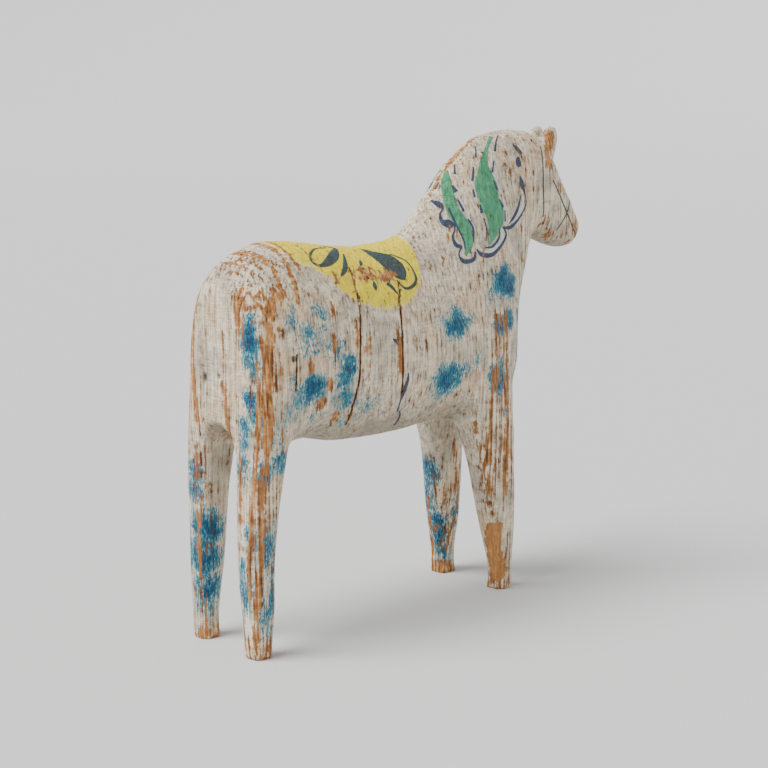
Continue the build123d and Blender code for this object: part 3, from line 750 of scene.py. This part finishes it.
def saddleCloth():
    store = newStore(paintSkin["broadLift"])
    stations = np.concatenate([np.linspace(-104, -98, 9), np.linspace(-97.2, -16, 104),
                               np.linspace(-15.5, -7, 18)])  # closer together at both ends
    low = np.interp(stations, *zip(*yellowCloth["edge"]))
    angles = np.radians(np.linspace(0, yellowCloth["sweep"], yellowCloth["looks"]))
    heart = yellowCloth["heart"]
    columns = yellowCloth["columns"]
    grid = np.zeros((len(stations), 2 * columns - 1, 3))
    rim = np.zeros(grid.shape[:2])
    for i, (x, edge) in enumerate(zip(stations, low)):
        for side in (-1, 1):
            line = []
            for angle in angles:
                way = Vector((0, side * math.sin(angle), math.cos(angle)))
                line.append(horseTree.ray_cast(Vector((x, 0, heart)) + way * yellowCloth["outside"], -way)[0])
            line = np.array(line)
            ends = np.argmax(line[:, 2] < edge)
            ends = max(ends, 2)
            t = np.linspace(0, ends, columns)
            row = np.stack([np.interp(t, np.arange(len(line)), line[:, k]) for k in range(3)], 1)
            inward = np.linalg.norm(row - row[-1], axis=1)
            room = np.clip(inward / yellowCloth["thinRim"], 0, 1)
            if side < 0:
                grid[i, :columns] = row[::-1]
                rim[i, :columns] = room[::-1]
            else:
                grid[i, columns - 1:] = row
                rim[i, columns - 1:] = room
    rim *= (ease(stations, -104, -94) * ease(-stations, 7, 11))[:, None]
    skin(store, grid, rim)
    paintPiece("saddleCloth", store, clothYellow, "yellow_paint", "saddle_cloth")


saddleCloth()

scrolls = newStore(paintSkin["scrollLift"])
stroke(scrolls, [(-66, -8, 196, 0.8), (-76, -10, 195, 1.0), (-83, -15, 194, 1.6), (-84, -18, 191, 1.4),
                 (-80, -19, 189, 1.6), (-74, -18, 190, 4.2), (-67, -14.5, 192, 5.6), (-62, -11, 194, 4.0),
                 (-59, -7, 195.5, 1.8), (-65, -6, 196.5, 1.2)])
stroke(scrolls, [(-58, -12, 192, 0.7), (-61, -17, 189, 2.6), (-64, -20, 186, 3.0), (-69, -22, 183, 1.0)])
stroke(scrolls, [(-49, -15, 189, 0.4), (-50, -16.5, 187.5, 2.2), (-52, -18, 186, 0.4)])
stroke(scrolls, [(-47, -23, 179, 0.4), (-47.5, -24, 176.5, 3.2), (-48, -25, 174, 0.5)])
stroke(scrolls, [(-38, -23, 177, 2.4), (-35, -24, 174, 2.0), (-32, -25, 170, 0.4)])
filled(scrolls, [(-41, -5.5, 193), (-33, -10, 191), (-26, -13, 189), (-22, -16, 186), (-21, -19, 181),
                 (-24, -22, 177)],
       [(-41, -6, 193), (-39, -12, 190), (-36, -17, 185), (-33, -20, 181), (-29, -22, 178),
        (-24, -22.5, 177)])
stroke(scrolls, [(-26, -12, 189, 0.7), (-23, -13, 188, 0.8), (-18, -16, 186, 0.9), (-16, -19, 181, 1.0),
                 (-16, -22, 177, 1.6), (-20, -24, 174, 1.8), (-26, -24, 173, 1.4), (-30, -23, 176, 0.9)])
paintPiece("saddleScrolls", scrolls, scrollTeal, "dark_teal_paint", "saddle_scrolls")

locks = newStore(paintSkin["broadLift"])
filled(locks, [(26, -1, 229), (22, -3, 224), (20, -5, 219), (19, -8, 213), (19, -11, 206), (22, -14, 201),
               (23, -16, 196), (24, -18, 190), (23, -19, 186)],
       [(27, -3, 229), (26, -6, 223), (25, -9, 217), (25, -12, 211), (27, -14, 206), (29, -17, 202),
        (30, -18, 196), (29, -19, 190), (24, -20, 185)], 0.35)
filled(locks, [(58, -4, 246), (52, -7, 241), (46, -9, 235), (42, -11, 229), (38, -12, 222), (38, -14, 216),
               (39, -17, 209), (41, -18, 204), (41, -20, 197), (39, -21, 190)],
       [(60, -5, 245), (53, -8, 240), (49, -11, 232), (50, -13, 227), (52, -15, 220), (52, -17, 213),
        (54, -18, 208), (53, -19, 201), (49, -20, 196), (41, -21, 190)], 0.75)
paintPiece("maneLocks", locks, lockGreen, "green_paint", "mane_locks")

white = newStore(paintSkin["broadLift"])  # short light strokes beside the locks
stroke(white, [(33, -20, 188, 0.8), (39, -22, 186.4, 1.8), (46, -22, 188.6, 2.0), (51, -21, 193, 1.6),
               (51, -20, 198, 0.7)])
stroke(white, [(54, -19, 200, 0.8), (61, -19, 201, 1.6), (67, -18, 205, 1.8), (71, -17, 210, 1.6),
               (71, -16, 216, 0.8)])
stroke(white, [(27, -8, 219, 0.6), (27.5, -11, 214, 1.0), (29.5, -15, 206, 0.8), (32, -18, 199, 0.5)])
stroke(white, [(54, -9, 238, 0.6), (51.5, -12, 230, 1.0), (53, -15, 220, 0.8), (56, -18, 208, 1.2),
               (55, -19, 202, 0.5)])
stroke(white, [(37, -10, 226, 0.5), (37, -13, 218, 0.9), (37, -16, 212, 0.7)])
paintPiece("maneHighlights", white, whiteLine, "ground_paint")

outlines = newStore(paintSkin["lineLift"])
stroke(outlines, [(13, -4, 214.5, 0.8), (16, -7, 212, 3.4), (17, -9, 210, 1.3), (15, -9, 207, 1.1),
                  (14.5, -11, 203.5, 2.6), (18, -13, 202, 4.6), (21, -13, 201, 1.4), (20, -14, 198, 0.9),
                  (18, -15, 195, 1.2), (19, -17, 191, 2.4), (22, -18, 190, 1.4), (20, -18, 187.5, 0.8),
                  (19.5, -19, 185, 1.2), (22, -20, 182.4, 2.4), (28, -21, 183, 2.0), (30, -20, 187, 0.8)])
stroke(outlines, [(31, -20, 188, 0.8), (34, -21, 185, 2.4), (41, -22, 184.6, 2.2), (49, -22, 189, 1.7),
                  (54, -21, 194, 1.3), (52.5, -20, 198, 0.8)])
stroke(outlines, [(36, -21, 188.6, 0.5), (42, -21, 188.8, 1.3), (48, -21, 193, 1.2), (49.5, -20, 198, 0.5)])
stroke(outlines, [(52, -20, 198, 1.2), (57, -20, 197.6, 2.0), (62, -19, 199, 1.6), (69, -18, 203, 1.2),
                  (74, -16, 209, 1.0), (73.5, -16, 215, 1.2), (71.5, -15, 219.5, 4.2), (70.5, -15, 224, 1.0)])
stroke(outlines, [(57, -19, 199.6, 0.5), (62.5, -18, 203, 2.0), (67, -17, 208, 1.7), (70, -16, 214.5, 0.5)])
stroke(outlines, [(72, -13, 234.5, 1.4), (71, -14, 231.5, 4.4), (71.5, -14, 229, 2.6)])
stroke(outlines, [(70.5, -12, 241.5, 1.0), (72.5, -12, 239, 2.6), (75, -12, 235.5, 1.8)])
for dash in [[(31, -4, 232, 0.7), (29, -6, 227, 1.3)], [(26, -7, 221, 0.8), (26.5, -9, 217.5, 3.0)],
             [(26, -11, 214, 0.8), (27.5, -14, 208, 1.6)], [(29, -16, 204, 0.9), (31, -17, 199, 1.2),
                                                            (30, -19, 192, 0.6)],
             [(20, -10, 210, 0.8), (21, -12, 205, 1.2), (22, -15, 200, 0.9), (24, -17, 194, 1.0),
              (24, -19, 189, 0.6)],
             [(46, -5, 241, 0.6), (43, -8, 235, 1.0)], [(40, -9, 230, 0.8), (37, -11, 223, 1.5)],
             [(36, -13, 219, 1.0), (36, -14, 215, 1.6)], [(38, -16, 211, 0.8), (38.5, -17, 206.5, 2.2)],
             [(39, -18, 204, 0.8), (39.5, -20, 197, 0.9), (37.5, -21, 192, 0.6)],
             [(64, -5, 246, 0.6), (60, -7, 243, 0.9), (56, -10, 238, 1.5)],
             [(53, -12, 233, 0.8), (50.5, -13, 227, 1.4)], [(50, -14, 223, 0.7), (51.5, -16, 218, 1.6)],
             [(52, -17, 213, 0.8), (54, -18, 208.5, 1.8)], [(55, -18, 207, 0.7), (54.5, -19, 201, 1.0)],
             [(21, -2, 223, 0.7), (18, -2, 219.5, 1.5)]]:
    stroke(outlines, dash)
paintPiece("maneOutlines", outlines, outlineNavy, "navy_paint", "mane_outlines")

bridle = newStore(paintSkin["lineLift"])
stroke(bridle, [(93, -10, 239, 0.7), (92, -13, 228, 0.9), (92, -13, 215, 0.9), (94, -12, 200, 0.7)])
stroke(bridle, [(101, -12, 220, 0.7), (108, -11, 211, 0.9), (115, -11, 201, 0.9), (126, -9, 186, 0.6)])
stroke(bridle, [(119, -10, 208, 0.6), (115, -11, 201, 0.8), (107, -10, 192, 0.6)])
paintPiece("bridleLines", bridle, scrollTeal, "dark_teal_paint", "bridle_lines")

girth = newStore(paintSkin["lineLift"])
stroke(girth, [(-41, -31, 149.5, 0.8), (-39, -31, 148.5, 1.7), (-37, -31, 146, 1.2)])
stroke(girth, [(-30, -30, 131, 0.6), (-30, -30, 127, 2.2), (-32, -29, 121, 2.4), (-33, -28, 116, 1.0),
               (-33, -27, 110, 1.2)])
stroke(girth, [(-31, -26, 110, 0.6), (-29, -23, 107, 1.1), (-29, -19, 102, 0.8)])
paintPiece("girthStrokes", girth, outlineNavy, "navy_paint", "girth_strokes")


# Floor, light, camera.

studio = {
    "floor": "#cfcfce", "sky": "#f4f5f7", "skyStrength": 0.70,
    "keyStrength": 4.9, "keySpread": 38.0,  # degrees across, for soft edges to the shadows
    "lookAt": (-0.0194, -0.002, 0.120), "turn": -44.5, "rise": 10.5, "away": 1.045, "lens": 93.75,
}


def stageFloor():
    profile = [(0.001, 0.0), (0.6, 0.0), (1.8, 0.0), (3.0, 0.0)]
    profile += [(3.0 + 2.4 * math.sin(t), 2.4 - 2.4 * math.cos(t)) for t in np.linspace(0.1, 1.45, 14)]
    around = 96
    ring = [(r * math.cos(2 * math.pi * k / around), r * math.sin(2 * math.pi * k / around), z)
            for r, z in profile for k in range(around)]
    faces = [(i * around + k, i * around + (k + 1) % around, (i + 1) * around + (k + 1) % around,
              (i + 1) * around + k) for i in range(len(profile) - 1) for k in range(around)]
    faces = [face[::-1] for face in faces] + [tuple(range(around))]
    mesh = bpy.data.meshes.new("studioFloor")
    mesh.from_pydata(ring, [], faces)
    mesh.polygons.foreach_set("use_smooth", [True] * len(mesh.polygons))
    material = bpy.data.materials.new("paper_sweep")  # matt background paper
    material.use_nodes = True
    shader = material.node_tree.nodes["Principled BSDF"]
    shader.inputs["Base Color"].default_value = hexColour(studio["floor"])
    shader.inputs["Roughness"].default_value = 0.9
    shader.inputs["Specular IOR Level"].default_value = 0.1
    mesh.materials.append(material)
    floor = bpy.data.objects.new("studioFloor", mesh)
    bpy.context.scene.collection.objects.link(floor)


stageFloor()
turn, rise = math.radians(studio["turn"]), math.radians(studio["rise"])
toCamera = Vector((math.sin(turn) * math.cos(rise), -math.cos(turn) * math.cos(rise), math.sin(rise)))
toRight = Vector((math.cos(turn), math.sin(turn), 0))
flatBack = Vector((toCamera.x, toCamera.y, 0)).normalized()

key = bpy.data.lights.new("softKey", "SUN")
key.energy = studio["keyStrength"]
key.angle = math.radians(studio["keySpread"])
keyLamp = bpy.data.objects.new("softKey", key)
fromKey = (-toRight * 0.75 + flatBack * 0.35 + Vector((0, 0, 1.15))).normalized()
keyLamp.rotation_euler = fromKey.to_track_quat("Z", "Y").to_euler()
bpy.context.scene.collection.objects.link(keyLamp)

world = bpy.data.worlds.new("studio")
world.use_nodes = True
world.node_tree.nodes["Background"].inputs[0].default_value = hexColour(studio["sky"])
world.node_tree.nodes["Background"].inputs[1].default_value = studio["skyStrength"]
bpy.context.scene.world = world

lens = bpy.data.cameras.new("camera")
lens.lens = studio["lens"]
lens.sensor_width = 36
lens.clip_start = 0.01
lens.clip_end = 100
camera = bpy.data.objects.new("camera", lens)
camera.location = Vector(studio["lookAt"]) + toCamera * studio["away"]
camera.rotation_euler = (-toCamera).to_track_quat("-Z", "Y").to_euler()
bpy.context.scene.collection.objects.link(camera)
bpy.context.scene.camera = camera
print("studio set")
